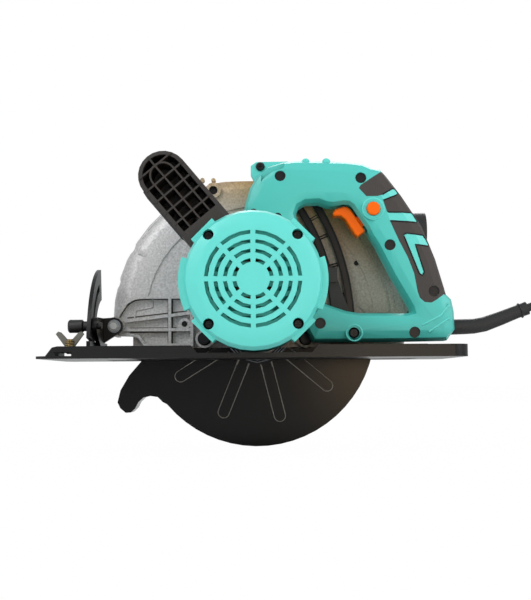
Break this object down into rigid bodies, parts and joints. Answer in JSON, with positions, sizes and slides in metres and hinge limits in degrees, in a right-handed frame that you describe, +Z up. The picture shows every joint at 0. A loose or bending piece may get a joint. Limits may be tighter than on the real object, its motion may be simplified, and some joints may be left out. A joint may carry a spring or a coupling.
{
  "type": "circular saw",
  "caption": "Corded circular saw with a side motor, D-shaped rear handle, front handle, sprung lower guard, depth arc and tilting shoe.",
  "frame": {"origin": "on the shoe's sole, in the plane of the spindle axis", "axes": "+X to the rear of the saw, +Y from the motor side to the blade side, +Z up from the sole"},
  "size_m": [0.5245, 0.2534, 0.233],
  "materials": {
    "cast_metal": "satin",
    "black_plastic": "satin",
    "steel": "polished",
    "teal_plastic": "satin",
    "grip_rubber": "matte",
    "laminate": "satin",
    "copper": "satin",
    "brass": "satin",
    "carbon": "matte",
    "cord_rubber": "matte",
    "guard_black": "gloss",
    "orange_plastic": "satin",
    "black_paint": "satin",
    "zinc": "satin"
  },
  "bodies": {
    "saw_body": {"upper_guard": "cast_metal", "dust_spout": "black_plastic", "gear_case": "cast_metal", "bearing_retainer": "steel", "motor_housing": "teal_plastic", "handle_cover": "teal_plastic", "handle_screw": "steel", "handle_lug_screw": "steel", "grip_pad_near": "grip_rubber", "grip_pad_far": "grip_rubber", "motor_end_cap": "teal_plastic", "air_screen": "black_plastic", "cap_screw_1": "steel", "cap_screw_2": "steel", "cap_screw_3": "steel", "cap_screw_4": "steel", "front_handle": "black_plastic", "front_handle_screw": "steel", "field_core": "laminate", "field_coils": "copper", "brush_ring": "brass", "carbon_brush_1": "carbon", "carbon_brush_2": "carbon", "end_bearing": "steel", "armature_bearing": "steel", "needle_bearing": "steel", "spindle_bearing": "steel", "trigger_switch": "black_plastic", "cord_boot": "cord_rubber", "depth_bolt": "steel", "guard_retaining_ring": "steel", "guard_spring": "steel", "power_cord": "cord_rubber", "cord_coil": "cord_rubber", "plug": "cord_rubber"},
    "spindle": {"spindle_shaft": "steel", "drive_gear": "steel", "inner_flange": "steel", "blade": "steel", "outer_flange": "steel", "arbor_bolt": "steel"},
    "armature": {"armature_shaft": "steel", "armature_core": "laminate", "armature_winding": "copper", "commutator": "copper", "fan": "black_plastic"},
    "lower_guard_body": {"lower_guard": "guard_black"},
    "trigger_body": {"trigger": "orange_plastic"},
    "lock_button_body": {"lock_button": "orange_plastic"},
    "depth_lever_body": {"depth_lever": "black_plastic"},
    "bevel_frame": {"pivot_bracket": "black_paint", "depth_arc": "black_paint", "pivot_bolt": "zinc", "front_bevel_pin": "steel", "rear_bevel_pin": "steel"},
    "shoe": {"shoe_plate": "black_paint", "bevel_quadrant": "black_paint", "fence_spring": "zinc"},
    "bevel_knob_body": {"bevel_knob": "black_plastic"},
    "fence_screw_body": {"fence_screw": "zinc"}
  },
  "joints": [
    {"name": "blade_spin", "type": "hinge", "parent": "saw_body", "child": "spindle", "pos_m": [0, 0.028, 0.0265], "axis": [0, 1, 0], "continuous": true},
    {"name": "armature_spin", "type": "hinge", "parent": "saw_body", "child": "armature", "pos_m": [-0.002, -0.06, 0.055], "axis": [0, 1, 0], "continuous": true},
    {"name": "guard_retract", "type": "hinge", "parent": "saw_body", "child": "lower_guard_body", "pos_m": [0, 0.017, 0.0265], "axis": [0, -1, 0], "range_deg": [0, 130], "stiffness_Nm_per_rad": 0.25, "springref_deg": -80.21},
    {"name": "trigger_pull", "type": "slide", "parent": "saw_body", "child": "trigger_body", "axis": [0.8572, 0, 0.515], "range_m": [0, 0.006], "stiffness_N_per_m": 300, "springref_m": -0.004},
    {"name": "lock_button_press", "type": "slide", "parent": "saw_body", "child": "lock_button_body", "axis": [0, 1, 0], "range_m": [0, 0.003], "stiffness_N_per_m": 300, "springref_m": -0.003},
    {"name": "depth_lever_turn", "type": "hinge", "parent": "saw_body", "child": "depth_lever_body", "pos_m": [0.07009, 0, 0.02922], "axis": [0, 1, 0], "range_deg": [0, 45]},
    {"name": "depth_swing", "type": "hinge", "parent": "saw_body", "child": "bevel_frame", "pos_m": [-0.1159, 0, 0.0276], "axis": [0, 1, 0], "range_deg": [0, 35]},
    {"name": "bevel_tilt", "type": "hinge", "parent": "bevel_frame", "child": "shoe", "pos_m": [0, 0.016, 0.007], "axis": [1, 0, 0], "range_deg": [0, 45]},
    {"name": "bevel_knob_turn", "type": "hinge", "parent": "bevel_frame", "child": "bevel_knob_body", "pos_m": [-0.14, -0.03662, 0.02615], "axis": [1, 0, 0], "continuous": true},
    {"name": "fence_screw_turn", "type": "hinge", "parent": "shoe", "child": "fence_screw_body", "pos_m": [-0.143, -0.054, 0.015], "axis": [0, 0, 1], "continuous": true}
  ],
  "couplings": [
    {"joint": "armature_spin", "follows": "blade_spin", "ratio": -2.25}
  ]
}
